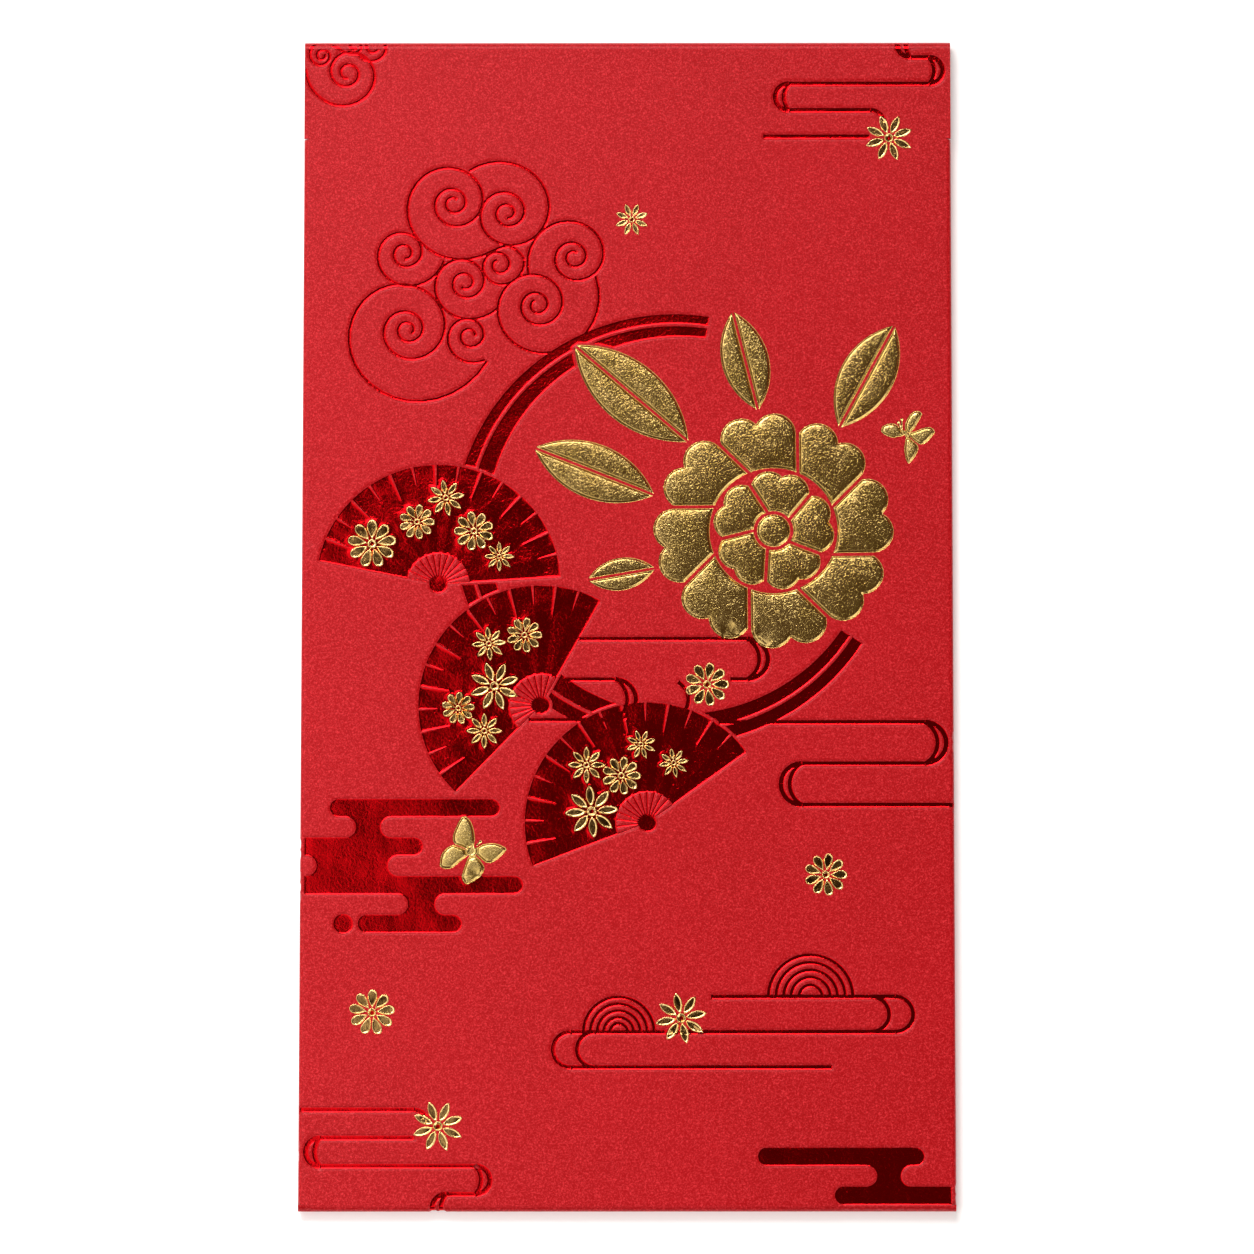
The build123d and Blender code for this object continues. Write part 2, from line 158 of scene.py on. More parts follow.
def polar(center, radius, angle):
    """Point at a distance and a direction, in degrees, from a centre."""
    return (center[0] + radius * cos(radians(angle)), center[1] + radius * sin(radians(angle)))


def arc(center, radius, start, end):
    """Points along a circular arc, close enough to look round."""
    steps = max(ARC_LEAST, ceil(abs(end - start) / ARC_STEP))
    return [polar(center, radius, start + (end - start) * k / steps) for k in range(steps + 1)]


def dot(center, radius):
    """Closed outline of a round dot."""
    return arc(center, radius, 0, 360)[:-1]


def strip(path, width):
    """Outline of a line of even width along a path."""
    left = []
    right = []
    for k, (x, y) in enumerate(path):
        ax, ay = path[max(k - 1, 0)]
        bx, by = path[min(k + 1, len(path) - 1)]
        scale = width / 2 / hypot(bx - ax, by - ay)
        nx, ny = (ay - by) * scale, (bx - ax) * scale
        left.append((x + nx, y + ny))
        right.append((x - nx, y - ny))
    return left + right[::-1]


def line(path, width):
    stamp("cloud_lines", FOIL, strip(path, width))


# %% [markdown]
# The spiral clouds are logarithmic: each half turn reaches the same share further out, which is how such clouds are
# drawn with a brush. So a cloud needs only its eye, its reach and the direction of its free end, and one function
# draws them all. The small ones in the top left corner wind the other way round.

# %% Press the spiral clouds
SWIRL_LINE = 0.42
SWIRL_GROWTH = 1.57  # gain in reach with each half turn
SWIRL_EYE = 0.75  # radius where a spiral begins
SMALL_EYE = 0.4
SWIRL_STEPS = 8  # points in a quarter turn
# Eye, reach of the free end, direction of the free end
CLOUD_SWIRLS = [
    ((-24.16, 59.26), 8.5, -63),
    ((-16.7, 57.9), 8.03, 132),
    ((-30.94, 52.1), 5.61, -11),
    ((-22.54, 47.91), 5.86, -39),
    ((-17.8, 50.45), 3.55, 10),
    ((-7.4, 51.55), 6.74, 202),
    ((-12.49, 44.71), 9.1, 27),
    ((-30.49, 41.2), 11.96, -22),
    ((-21.86, 40.32), 4.06, -58),
]
# Two free ends run on to the spiral above
SWIRL_TAILS = [
    [(-20.3, 51.68), (-19.06, 52.25), (-17.67, 52.89), (-16.86, 53.11), (-16.05, 53.2)],
    [(-16.4, 53.1), (-15.55, 52.75), (-14.9, 52.1), (-14.45, 51.5), (-14.3, 51.07)],
]
# The same with the radius of the eye, from the top left corner, measured to the right and down
CORNER_SWIRLS = [
    ((6.0, 4.5), 5.9, 174, SWIRL_EYE),
    ((2.4, 2.0), 2.3, 50, SMALL_EYE),
    ((6.9, 0.6), 1.2, 250, SMALL_EYE),
    ((9.6, 0.7), 2.5, 195, SMALL_EYE),
]
CORNER_TAIL = [(3.8, 0.6), (4.3, 0.75), (4.8, 1.1), (5.4, 1.45), (6.2, 1.7), (7.3, 1.75)]


def swirl(eye, reach, end_angle, direction=1, inner=SWIRL_EYE):
    """Spiral line from its free end in to its eye."""
    quarters = 2 * log(reach / inner) / log(SWIRL_GROWTH)
    path = []
    for k in range(int(quarters * SWIRL_STEPS) + 1):
        quarter = k / SWIRL_STEPS
        path.append(polar(eye, reach * SWIRL_GROWTH ** (-quarter / 2), end_angle - direction * 90 * quarter))
    line(path, SWIRL_LINE)


def from_corner(right, down):
    """Point measured from the top left corner of the packet."""
    return (-half_width + right, half_height - down)


for eye, reach, end_angle in CLOUD_SWIRLS:
    swirl(eye, reach, end_angle)
for tail in SWIRL_TAILS:
    line(tail, SWIRL_LINE)
for eye, reach, end_angle, inner in CORNER_SWIRLS:
    swirl(from_corner(*eye), reach, end_angle, -1, inner)
line([from_corner(*point) for point in CORNER_TAIL], SWIRL_LINE)
print("lines of the spiral clouds:", len(stampings))

# %% [markdown]
# A cloud band is a line that runs level and turns back on itself in half circles. Inside each turn lies a second,
# flatter curve, so that the end of the band looks like a crescent moon. Helpers draw these parts, and each band then
# needs only its rows and the places where it turns.

# %% Draw levels and turns
BAND_LINE = 0.6
TURN_LINE = 0.7
CRESCENT_LINE = 0.62
CRESCENT = 1.2  # how far the flatter curve stays behind the turn
EDGE_MARGIN = 0.4  # from a turn to the fold
LEFTWARD, RIGHTWARD = -1, 1


def level(left, right, y):
    line([(left, y), (right, y)], BAND_LINE)


def turn(x, upper, lower, side):
    """Half circle that joins two levels, with its crescent."""
    middle = (upper + lower) / 2
    radius = (upper - lower) / 2
    reach = radius - CRESCENT
    flat_radius = (radius ** 2 + reach ** 2) / (2 * reach)
    flat_center = x + side * (reach - flat_radius)
    sweep = np.degrees(np.arcsin(min(1, radius / flat_radius)))
    facing = 90 - 90 * side
    line(arc((x, middle), radius, facing - 90, facing + 90), TURN_LINE)
    line(arc((flat_center, middle), flat_radius, facing - sweep, facing + sweep), CRESCENT_LINE)


def winding(stops, y):
    """Levels from stop to stop, each a row lower than the last, with turns between them."""
    for k, (start, end) in enumerate(zip(stops, stops[1:])):
        level(min(start, end), max(start, end), y[k])
        if k < len(stops) - 2:
            turn(end, y[k], y[k + 1], RIGHTWARD if end > start else LEFTWARD)


def rows(top, pitch, count):
    """Heights of the levels of a band, from the top down."""
    return [top - k * pitch for k in range(count)]


# %% [markdown]
# The bands at the right are measured from the packet's edges. The upper one comes in over the top edge and winds down
# to a blossom. The lower one comes from under the ring and runs out over the right edge.

# %% Press the bands at the right
def top_band():
    pitch = 3.8
    radius = pitch / 2
    y = rows(half_height - 2.3, pitch, 4)
    right_turn = flat_half_width - EDGE_MARGIN - radius
    left_turn = half_width - 22.5
    entry = half_width - 5.5
    foot = half_width - 11.1
    end_left, end_right = half_width - 26.1, half_width - 11.3
    turn(entry, y[0] + pitch, y[0], LEFTWARD)
    winding((entry, right_turn, left_turn, foot), y)
    line(arc((foot, y[2] - radius), radius, 0, 90), BAND_LINE)
    level(end_left, end_right, y[3])


def right_band():
    pitch = 5.8
    y = rows(-14.4, pitch, 3)
    right_turn = flat_half_width - EDGE_MARGIN - pitch / 2
    left_turn = half_width - 20.9
    start = half_width - 32.4
    winding((start, right_turn, left_turn, half_width), y)


top_band()
right_band()
print("lines so far:", len(stampings))

# %% [markdown]
# Two bands lie on the open face. One runs behind the middle fan, with a short second wave. The long one below it is
# double, and nests of rainbow arches stand on it: half circles round one centre, each a little smaller.

# %% Press the bands on the open face
ARCH_LINE = 0.5
WIDE_ARCHES = (5.8, 4.75, 3.7, 2.7, 1.6)
LOW_ARCHES = (4.85, 3.9, 2.95, 2.05, 1.2)


def center_band():
    pitch = 5.7
    y = rows(-2.65, pitch, 3)
    far_turn, near_turn = 16.6, -1.6
    level(-6.8, far_turn, y[0])
    turn(far_turn, y[0], y[1], RIGHTWARD)
    level(14.2, far_turn, y[1])
    level(-8.7, near_turn, y[1])
    turn(near_turn, y[1], y[2], RIGHTWARD)
    level(-13.6, near_turn, y[2])
    line(arc((5.6, y[1] - pitch / 2), pitch / 2, -35, 60), BAND_LINE)


def arches(x, y, reaches):
    """Nest of half circles that stand on a level."""
    for reach in reaches:
        line(arc((x, y), reach, 0, 180), ARCH_LINE)


def arch_band():
    pitch = 4.9
    radius = pitch / 2
    y = rows(-52.8, pitch, 3)
    right_turn, left_turn = 36.8, -7.7
    shift = 3.3  # from a turn to its second half circle
    level(11.5, right_turn, y[0])
    for x in (right_turn, right_turn - shift):
        line(arc((x, y[0] - radius), radius, -90, 90), BAND_LINE)
    level(left_turn, right_turn, y[1])
    for x in (left_turn, left_turn + shift):
        line(arc((x, y[1] - radius), radius, 90, 270), BAND_LINE)
    level(left_turn, 28.1, y[2])
    arches(25.2, y[0], WIDE_ARCHES)
    arches(-1.1, y[1], LOW_ARCHES)


center_band()
arch_band()
print("lines so far:", len(stampings))

# %% [markdown]
# The last band comes in over the left edge, winds under a blossom and leaves over the foot. Its lines are simply
# drawn past the edges: the sheet is cut later, and whatever lies on it is bent round the folds with it.

# %% Press the band at the foot
def bottom_band():
    pitch = 3.9
    radius = pitch / 2
    y = rows(-half_height + 14.0, pitch, 4)
    left_turn = -flat_half_width + EDGE_MARGIN + radius
    right_turn = -half_width + 24.3
    foot = -half_width + 15.8
    leaving = -half_width + 20.3
    level(-half_width, foot, y[0])
    line(arc((foot, y[0] - radius), radius, 0, 90), BAND_LINE)
    winding((foot, left_turn, right_turn, leaving), y[1:])
    turn(leaving, y[3], y[3] - pitch, LEFTWARD)


bottom_band()
print("pressed lines in all:", len(stampings))

# %% [markdown]
# ## Red foil motifs
# The ring, the fans and the bars of mist keep the outlines of their CAD nodes. An outline that runs clockwise is an
# opening, and there the bare paper shows, as it does in the slits and between the sticks of a fan.

# %% Take over the foil motifs
FOIL_NODES = {
    "moon_ring": "moon_ring_foil",
    "upper_fan": "upper_fan_foil",
    "middle_fan": "middle_fan_foil",
    "lower_fan": "lower_fan_foil",
    "left_mist": "left_mist_foil",
    "corner_mist": "corner_mist_foil",
}
for piece, node in FOIL_NODES.items():
    outlines = top_outlines(node)
    for outline in outlines:
        if signed_area(outline) > 0:
            stamp(piece, FOIL, outline)
    for outline in outlines:
        if signed_area(outline) < 0:
            stamp("face_paper", PAPER, outline)
    print(piece, len(outlines), "outlines")

# %% [markdown]
# ## Gold motifs
# Petals, leaves and wings of the large motifs are domed like small cushions, so they keep their CAD outlines. The
# wings of a butterfly are drawn in a little, so that they meet at its slim body, which is stamped over them.

# %% Take over the domed gold
GOLD_NODES = {
    "peony_bloom": "peony_bloom_gold",
    "peony_leaves": "peony_leaf_gold",
    "butterflies": "butterfly_gold",
}
BODY_AREA = 2.0  # square millimetres: what is smaller is a body, with a rim instead of a dome
REACH_IN = 0.75  # how far a wing grows towards the middle of the body
GROWING = 1.3  # length of the wing that takes part


def joined_to_body(wing, bodies):
    """Wing drawn in towards the middle of its body, so that the wings meet."""
    root_x, root_y = min(bodies, key=lambda body: hypot(body[0] - wing[0][0], body[1] - wing[0][1]))
    away = [hypot(x - root_x, y - root_y) for x, y in wing]
    nearest = min(away)
    grown = []
    for (x, y), far in zip(wing, away):
        share = max(0, 1 - (far - nearest) / GROWING)
        scale = 1 - REACH_IN * nearest / far * share * share * (3 - 2 * share)
        grown.append((root_x + (x - root_x) * scale, root_y + (y - root_y) * scale))
    return grown


for piece, node in GOLD_NODES.items():
    outlines = sorted(top_outlines(node), key=signed_area, reverse=True)
    bodies = [tuple(np.mean(outline, axis=0)) for outline in outlines if signed_area(outline) < BODY_AREA]
    for outline in outlines:
        if signed_area(outline) < BODY_AREA:
            stamp(piece, RIMMED, outline)
        else:
            stamp(piece, DOMED, joined_to_body(outline, bodies) if bodies else outline)
    print(piece, len(outlines), "outlines")

# %% [markdown]
# The feelers of the butterflies are gold hairs with a dot at the tip. They are lines like the clouds, only in gold,
# so the same strip serves for them.

# %% Add the feelers of the butterflies
FEELER = 0.22
FEELER_TIP = 0.2
FEELERS = [
    ((37.95, 27.1), (37.52, 27.94)),
    ((38.0, 27.0), (38.0, 28.33)),
    ((-20.75, -31.7), (-20.2, -31.17)),
]
for root, tip in FEELERS:
    stamp("butterflies", DOMED, strip([root, tip], FEELER))
    stamp("butterflies", DOMED, dot(tip, FEELER_TIP))
print("feelers:", len(FEELERS))

# %% [markdown]
# The small blossoms are finer than their CAD plates: every petal has a raised rim round a hollow, and the heart is a
# ring. Their place, size and turn come from the CAD outlines, where the corners nearest to the middle are the notches
# between the petals. The petals are drawn again as smooth curves, and each hollow is a smaller petal inside.

# %% Draw the small blossoms
ROUND_PETALS = 9
STAR_PETALS = 8
HEART = 0.19  # radius of the ring in the middle, as part of the blossom's
HEART_HOLE = 0.08
PETAL_FOOT = 0.2  # where a petal begins
ROUND_HALF = 0.28  # half the width of a round petal
STAR_HALF = 0.17
ROUND_SWELL, STAR_SWELL = 0.5, 0.6  # powers that shape the two kinds of petal
PETAL_POINTS = 30
PETAL_RIM = 0.1  # width of the bright rim
RIM_SIDE = 0.8  # the rim is a little narrower at the sides


def petal(center, radius, axis, half, pointed, inset=0):
    """Smooth petal: a teardrop with a round end, or a slim one with a pointed end."""
    outline = []
    foot = PETAL_FOOT + inset
    for k in range(PETAL_POINTS):
        angle = 2 * pi * k / PETAL_POINTS
        out = (1 - cos(angle)) / 2
        width = abs(sin(angle)) ** STAR_SWELL if pointed else out ** ROUND_SWELL
        along = radius * (foot + (1 - inset - foot) * out)
        across = radius * (half - RIM_SIDE * inset) * sin(angle) * width
        x, y = polar(center, along, axis)
        outline.append((x - across * sin(radians(axis)), y + across * cos(radians(axis))))
    return outline


def blossom(piece, corners):
    """Redraws one CAD blossom, given the corners of its outline."""
    center = tuple(np.mean(corners, axis=0))
    reach = [hypot(x - center[0], y - center[1]) for x, y in corners]
    radius = max(reach)
    petals = ROUND_PETALS if len(corners) % ROUND_PETALS == 0 else STAR_PETALS
    step = 360 / petals
    notch = corners[int(np.argmin(reach))]
    first = np.degrees(atan2(notch[1] - center[1], notch[0] - center[0])) + step / 2
    pointed = petals == STAR_PETALS
    half = STAR_HALF if pointed else ROUND_HALF
    for k in range(petals):
        axis = first + k * step
        stamp(piece, RIMMED, petal(center, radius, axis, half, pointed))
        stamp("blossom_hollows", RIMMED, petal(center, radius, axis, half, pointed, PETAL_RIM))
    stamp(piece, RIMMED, dot(center, radius * HEART))
    stamp("blossom_hearts", FOIL, dot(center, radius * HEART_HOLE))


BLOSSOM_NODES = {"loose_blossoms": "loose_blossom_gold", "fan_blossoms": "fan_blossom_gold"}
for piece, node in BLOSSOM_NODES.items():
    for corners in top_outlines(node):
        blossom(piece, corners)
print("stampings in all:", len(stampings))

# %% [markdown]
# ## One sheet from all outlines
# Card, red foil and gold are one pressed sheet. Plates laid on a panel would show a step at every edge, and a
# displacement modifier would need a very fine grid all over. Here all outlines go into one triangulation, so the
# materials meet edge to edge, and the mesh is fine only where the relief needs it. It starts with the outline of the
# sheet, with its folds laid out flat.

# %% Lay out the flat sheet
BEND_STEPS = 12  # facets round a fold
SLIT = 0.05  # cut at both ends of a folded side, at the mouth and at the foot
side_reach = flat_half_width + pi * side_bend
bottom_reach = flat_bottom - pi * bottom_bend
foot_length = flat_bottom - SLIT - bottom_reach
foot_turns = [bottom_reach + foot_length * k / BEND_STEPS for k in range(BEND_STEPS + 1)]
half_domain = [(half_width, y) for y in foot_turns] + [
    (flat_half_width, flat_bottom - SLIT),
    (flat_half_width, flat_bottom),
    (side_reach, flat_bottom),
    (side_reach, mouth - SLIT),
    (flat_half_width, mouth - SLIT),
    (flat_half_width, mouth),
    (half_width, mouth),
    (half_width, top_edge),
]
domain = half_domain + [(-x, y) for x, y in reversed(half_domain)]


def inside_domain(x, y):
    """True on the flat or folded sheet."""
    if flat_bottom - SLIT < y < mouth:
        across = side_reach if flat_bottom < y < mouth - SLIT else flat_half_width
    else:
        across = half_width
    return abs(x) < across and bottom_reach < y < top_edge


print("sheet laid flat:", round(2 * side_reach, 2), "x", round(top_edge - bottom_reach, 2), "mm")

# %% [markdown]
# Long edges are divided, so that the sheet can bend and swell between their ends. A search tree with points on all
# outlines then tells how far any place is from the nearest edge.

# %% Divide the outlines
SPACING = 0.28
FINE = 0.14
EDGE_SAMPLE = 0.1


def divided(outline, spacing):
    """Closed outline with points added until no edge is longer than the spacing."""
    points = []
    for (ax, ay), (bx, by) in zip(outline, outline[1:] + outline[:1]):
        count = max(1, ceil(hypot(bx - ax, by - ay) / spacing))
        points += [(ax + (bx - ax) * k / count, ay + (by - ay) * k / count) for k in range(count)]
    return points


def spacing_of(kind):
    """The rims of the petals are fine, so their outlines are too."""
    return FINE if kind == RIMMED else SPACING


def search_tree(points):
    """Tree that finds the points nearest to a place."""
    tree = KDTree(len(points))
    for k, (x, y) in enumerate(points):
        tree.insert((x, y, 0), k)
    tree.balance()
    return tree


outlines = [divided(outline, spacing_of(kind)) for _, kind, outline in stampings]
on_edges = np.concatenate([np.array(divided(outline, EDGE_SAMPLE)) for outline in outlines])
edge_tree = search_tree(on_edges)


def clearance(point):
    """Distance from a point to the nearest outline."""
    return edge_tree.find((*point, 0))[2]


print("points on outlines:", sum(len(outline) for outline in outlines))

# %% [markdown]
# Rows of points beside each outline give the slopes of the relief their shape. The rows lie close together at the
# edge, where the slope is steep, and far apart further on. A point is left out where another outline is nearer than
# its own, because that one has rows too.

# %% Set rows of points beside the outlines
PAPER_ROWS = (0.06, 0.13, 0.2, 0.29, 0.5)
FOIL_ROWS = (0.035, 0.07, 0.15, 0.35)
DOMED_ROWS = (0.04, 0.07, 0.1, 0.2, 0.3, 0.33, 0.4, 0.6, 0.9, 1.3, 1.9, 2.6, 3.4, 4.3)
RIMMED_ROWS = (0.05, 0.1, 0.17, 0.25, 0.34)
ROWS = {PAPER: PAPER_ROWS, FOIL: FOIL_ROWS, DOMED: DOMED_ROWS, RIMMED: RIMMED_ROWS}
OUTWARD, INWARD = 1, -1
OWN_SHARE = 0.93  # part of its distance that a point keeps from every outline
CELL_OF_SPACING, CELL_OF_OFFSET = 0.7, 0.5  # how close points of one row may lie
NO_LENGTH = 1e-6


def side_rows(outline, offsets, side, spacing):
    """Points beside an outline, at growing distances, that come no nearer to another one."""
    taken = set()
    found = []
    count = len(outline)
    for offset in offsets:
        cell = max(CELL_OF_SPACING * spacing, CELL_OF_OFFSET * offset)
        for k in range(count):
            ax, ay = outline[k - 1]
            bx, by = outline[(k + 1) % count]
            length = hypot(bx - ax, by - ay)
            if length < NO_LENGTH:
                continue
            x, y = outline[k]
            point = (x + side * offset * (by - ay) / length, y - side * offset * (bx - ax) / length)
            key = (offset, round(point[0] / cell), round(point[1] / cell))
            if key not in taken and inside_domain(*point) and clearance(point) > OWN_SHARE * offset:
                taken.add(key)
                found.append(point)
    return found


free_points = []
for (_, kind, _), outline in zip(stampings, outlines):
    outer = FOIL_ROWS if kind == PAPER else PAPER_ROWS
    free_points += side_rows(outline, outer, OUTWARD, spacing_of(kind))
    free_points += side_rows(outline, ROWS[kind], INWARD, spacing_of(kind))
print("points beside outlines:", len(free_points))

# %% [markdown]
# The folds get lines of points along them, one for each facet of the round, or they would bend in flat strips. The
# open card needs only a coarse grid.

# %% Fill the folds and the open card
BORDER_SPACING = 1.5
BEND_CLEARANCE = 0.3
GRID = 4.0
BEFORE_BEND = [-0.3, -0.08, 0.0]  # radians, as if the sheet had begun to turn on the flat
for turned in BEFORE_BEND + [pi * k / BEND_STEPS for k in range(1, BEND_STEPS)]:
    for y in np.arange(flat_bottom, mouth - SLIT, BORDER_SPACING)[1:]:
        spots = [(side * (flat_half_width + turned * side_bend), y) for side in (-1, 1)]
        free_points += [spot for spot in spots if clearance(spot) > BEND_CLEARANCE]
    for x in np.arange(-flat_half_width, flat_half_width, BORDER_SPACING)[1:]:
        spot = (x, flat_bottom - turned * bottom_bend)
        if clearance(spot) > BEND_CLEARANCE:
            free_points.append(spot)
for x in np.arange(-flat_half_width, flat_half_width, GRID):
    for y in np.arange(flat_bottom, top_edge, GRID)[1:]:
        if clearance((x, y)) > GRID / 3:
            free_points.append((x, y))
print("free points:", len(free_points))

# %% [markdown]
# A fan's leaf is pleated like an accordion, and no outline runs along a pleat. So each pleat gets a row of points of
# its own, with a row close by on each side to keep its crease narrow. Pivots and angles are those of the CAD model.

# %% Follow the pleats of the fans
# Pivot of each fan and direction of its first edge, in degrees
FANS = [((-26.1, 5.1), 3.5), ((-11.9, -12.0), 61.0), ((2.8, -28.5), 36.0)]
FAN_RADIUS = 16.9
STICK_RADIUS = 4.35  # where the leaf begins
PLEATS = 15
PLEAT = 11.0  # degrees
PLEAT_MARGIN, PLEAT_SPACING = 0.3, 0.6
PLEAT_ROWS = (-0.1, 0, 0.1)
PLEAT_CLEARANCE = 0.25
for pivot, first_edge in FANS:
    for k in range(1, PLEATS):
        for radius in np.arange(STICK_RADIUS + PLEAT_MARGIN, FAN_RADIUS, PLEAT_SPACING):
            on_fold = polar(pivot, radius, first_edge + k * PLEAT)
            for beside in PLEAT_ROWS:
                point = polar(on_fold, beside, first_edge + k * PLEAT + 90)
                if clearance(point) > PLEAT_CLEARANCE:
                    free_points.append(point)
print("free points with the pleats:", len(free_points))

# %% [markdown]
# The triangulation keeps every edge of the outlines and fills the rest with well-shaped triangles. For each triangle
# it also tells which outlines it lies in, and the last of them is the stamping that is seen there.

# %% Triangulate the sheet
WHOLE_HULL = 0  # fill everything between the points
MERGE = 1e-5  # points closer than this become one


def triangulated(points, rings):
    """Places, triangles, and for each triangle the numbers of the rings that it lies in."""
    vectors = [Vector(point) for point in points]
    places, _, triangles, _, _, owners = delaunay_2d_cdt(vectors, [], rings, WHOLE_HULL, MERGE, True)
    return np.array([tuple(place) for place in places]), triangles, owners


areas = [("face_paper", PAPER, domain)] + stampings
border_outline = divided(domain, BORDER_SPACING)
corners = []
rings = []
for outline in [border_outline] + outlines:
    rings.append(list(range(len(corners), len(corners) + len(outline))))
    corners += outline
flat, triangles, owners = triangulated(corners + free_points, rings)
kept = [k for k, owner in enumerate(owners) if 0 in owner]
triangles = np.array([triangles[k] for k in kept])
owner = np.array([max(owners[k]) for k in kept])
kind = np.array([area[1] for area in areas])[owner]
print("triangles:", len(triangles))

# %% [markdown]
# ## Relief
# A press leaves soft shoulders. The paper eases down towards a foil edge, the foil goes on down a steeper slope to
# a flat floor, and the gold swells up like a cushion. All of that depends on one number, the distance to the nearest
# line where two materials meet, so those lines are found first. Each kind is one bit of a number, and an edge or a
# point with more than one bit set lies on such a seam.

# %% Find where materials meet
SEAMS_TRIED = 4  # for each point, the nearest seam is one of these
bit = 1 << kind
ends = np.concatenate([triangles[:, [0, 1]], triangles[:, [1, 2]], triangles[:, [2, 0]]])
code = np.sort(ends, axis=1) @ [len(flat), 1]
codes, first, inverse, uses = np.unique(code, return_index=True, return_inverse=True, return_counts=True)
edge_bits = np.zeros(len(codes), int)
np.bitwise_or.at(edge_bits, inverse, np.tile(bit, 3))
is_seam = (edge_bits & (edge_bits - 1)) > 0
seam_ends = flat[ends[first[is_seam]]]
seam_bits = edge_bits[is_seam]
border = ends[first[uses == 1]]
point_bits = np.zeros(len(flat), int)
np.bitwise_or.at(point_bits, triangles.ravel(), np.repeat(bit, 3))
print("seam edges:", len(seam_ends))

# %% Measure the distance to the nearest seam
seam_tree = search_tree(seam_ends.mean(axis=1))
near = np.array([[hit[1] for hit in seam_tree.find_n((x, y, 0), SEAMS_TRIED)] for x, y in flat])
start = seam_ends[near, 0]
run = seam_ends[near, 1] - start
offset = flat[:, None, :] - start
along = np.clip((offset * run).sum(axis=2) / (run ** 2).sum(axis=2), 0, 1)
distances = np.linalg.norm(offset - along[..., None] * run, axis=2)
nearest = distances.argmin(axis=1)
distance = distances.min(axis=1)
on_seam = (point_bits & (point_bits - 1)) > 0
distance[on_seam] = 0
neighbour_bits = seam_bits[near[np.arange(len(flat)), nearest]]
print("farthest point from a seam:", round(distance.max(), 1), "mm")

# %% [markdown]
# The depths are small, about a sixth of a millimetre for the foil and a third for the gold, but they are what catches
# the light. A blossom's petal rises to a rim and sinks again, and a large petal swells twice: quickly at its edge,
# and slowly towards its middle. The leaf of a fan rises and falls with its pleats.

# %% Give the sheet its relief
FOIL_DEPTH = 0.165
SHOULDER_DROP = 0.14  # how far the paper has sunk where the foil begins
SHOULDER = 0.28
FOIL_SLOPE = 0.1
SINK, TENT = 0.03, 0.5  # foil rises towards the gold that stands on it
GROOVE = 0.05  # the edge of the gold lies in a narrow groove
BEVEL_START, BEVEL_END, BEVEL_RISE = 0.07, 0.33, 0.2
EDGE_RISE, EDGE_RUN = 0.07, 1.2
DOME_RISE, DOME_RUN = 0.1, 3.0
PLEAT_RISE, PLEAT_EASE = 0.04, 0.4
RIM_RISE, RIM_WIDTH = 0.14, 0.1
HOLLOW, HOLLOW_END = 0.1, 0.22


def smooth(value):
    """Smooth step from 0 to 1."""
    value = np.clip(value, 0, 1)
    return value * value * (3 - 2 * value)


has_foil = (neighbour_bits & (1 << FOIL)) > 0
has_gold = (neighbour_bits & (1 << DOMED | 1 << RIMMED)) > 0
gold_base = np.where(has_foil, SINK - FOIL_DEPTH, 0)
seam_level = np.where(has_gold, gold_base, -SHOULDER_DROP)
inward = np.maximum(distance - BEVEL_END, 0)
groove = GROOVE * np.clip(distance / BEVEL_START, 0, 1)
bevel = (BEVEL_RISE + GROOVE) * np.clip((distance - BEVEL_START) / (BEVEL_END - BEVEL_START), 0, 1)
swell = EDGE_RISE * (1 - np.exp(-inward / EDGE_RUN)) + DOME_RISE * (1 - np.exp(-inward / DOME_RUN))
pleat = np.zeros(len(flat))
for pivot, first_edge in FANS:
    dx, dy = (flat - pivot).T
    radius = np.hypot(dx, dy)
    turned = (np.degrees(np.arctan2(dy, dx)) - first_edge) % 360 / PLEAT
    on_leaf = (radius > STICK_RADIUS) & (radius < FAN_RADIUS) & (turned < PLEATS)
    wave = 1 - 2 * abs(turned % 2 - 1)
    pleat[on_leaf] = (PLEAT_RISE * wave * radius / FAN_RADIUS * smooth(distance / PLEAT_EASE))[on_leaf]
foil_run = np.where(has_gold, TENT, FOIL_SLOPE)
sunk = HOLLOW * smooth((distance - RIM_WIDTH) / (HOLLOW_END - RIM_WIDTH))
levels = {
    PAPER: seam_level * (1 - smooth(distance / SHOULDER)),
    FOIL: (seam_level + FOIL_DEPTH) * (1 - smooth(distance / foil_run)) - FOIL_DEPTH + pleat,
    DOMED: seam_level - groove + bevel + swell,
    RIMMED: seam_level + (RIM_RISE * smooth(distance / RIM_WIDTH) - sunk),
}
lift = seam_level.copy()
for own, level_of in levels.items():
    inside = point_bits == 1 << own
    lift[inside] = level_of[inside]
print("relief from", round(lift.min(), 2), "to", round(lift.max(), 2), "mm")

# %% [markdown]
# A dome made from distances alone has a sharp ridge along its middle, like a tin roof. A few rounds of averaging
# with the neighbours round it off, as the soft card under the real foil does.

# %% Round the ridges of the domes
RIDGE_START = 0.6  # the slopes at the edge stay as they are
ROUNDS = 4
pairs = ends[first]
soft = (point_bits == 1 << DOMED) & (distance > RIDGE_START)
for _ in range(ROUNDS):
    total = np.zeros(len(flat))
    weight = np.zeros(len(flat))
    for a, b in (pairs.T, pairs.T[::-1]):
        np.add.at(total, a, lift[b])
        np.add.at(weight, a, 1)
    lift[soft] = (total / weight)[soft]
print("rounded points:", soft.sum())

